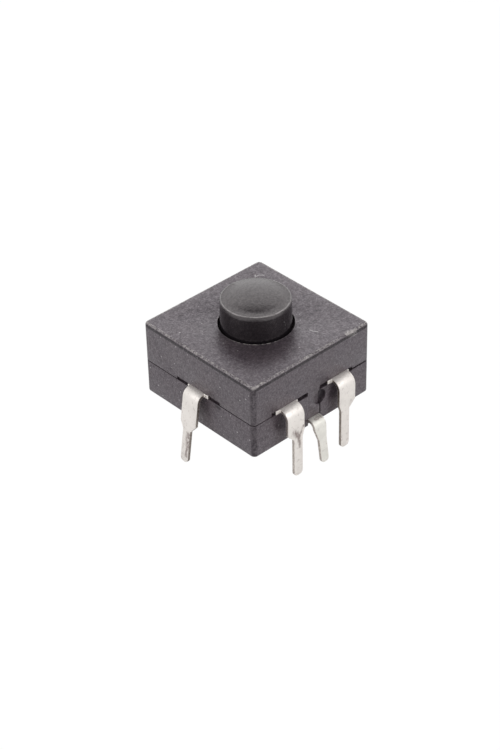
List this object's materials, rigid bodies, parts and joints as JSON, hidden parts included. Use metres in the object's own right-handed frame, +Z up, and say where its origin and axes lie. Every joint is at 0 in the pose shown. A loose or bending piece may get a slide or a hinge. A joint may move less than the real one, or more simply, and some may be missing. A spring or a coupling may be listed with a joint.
{
  "type": "flashlight switch",
  "caption": "Square push button flashlight switch with a round domed button, bent solder terminals and an inner ratchet selector.",
  "frame": {"origin": "centre of the underside of the base, where it seats on a circuit board", "axes": "+Z up along the button, -Y towards the front face with the common terminal, X across"},
  "size_m": [0.0152, 0.0132, 0.012],
  "materials": {
    "housing": "matt, finely grained, worn pale along the top edges",
    "button": "smooth, half gloss",
    "terminal_metal": "tinned sheet, stained and scratched",
    "silver": "polished silver",
    "contact_brass": "satin",
    "rotor_plastic": "smooth, natural",
    "spring_steel": "drawn wire"
  },
  "bodies": {
    "housing": {"base": "housing", "cover": "housing", "pivot_pin": "contact_brass", "terminal_left": "terminal_metal", "terminal_right": "terminal_metal", "terminal_front_left": "terminal_metal", "terminal_front_right": "terminal_metal", "terminal_common": "terminal_metal", "contact_left": "silver", "contact_right": "silver", "contact_front_left": "silver", "contact_front_right": "silver"},
    "plunger": {"button": "button"},
    "selector": {"rotor": "rotor_plastic", "contact_plate": "contact_brass", "return_spring": "spring_steel"}
  },
  "joints": [
    {"name": "button_press", "type": "slide", "parent": "housing", "child": "plunger", "axis": [0, 0, -1], "range_m": [0, 0.0015], "stiffness_N_per_m": 1300, "deforming": ["return_spring"]},
    {"name": "rotor_turn", "type": "hinge", "parent": "housing", "child": "selector", "pos_m": [0, 0, 0.0015], "axis": [0, 0, 1], "range_deg": [0, 40]}
  ],
  "couplings": [
    {"joint": "rotor_turn", "follows": "button_press", "rad_per_m": 465.4}
  ]
}
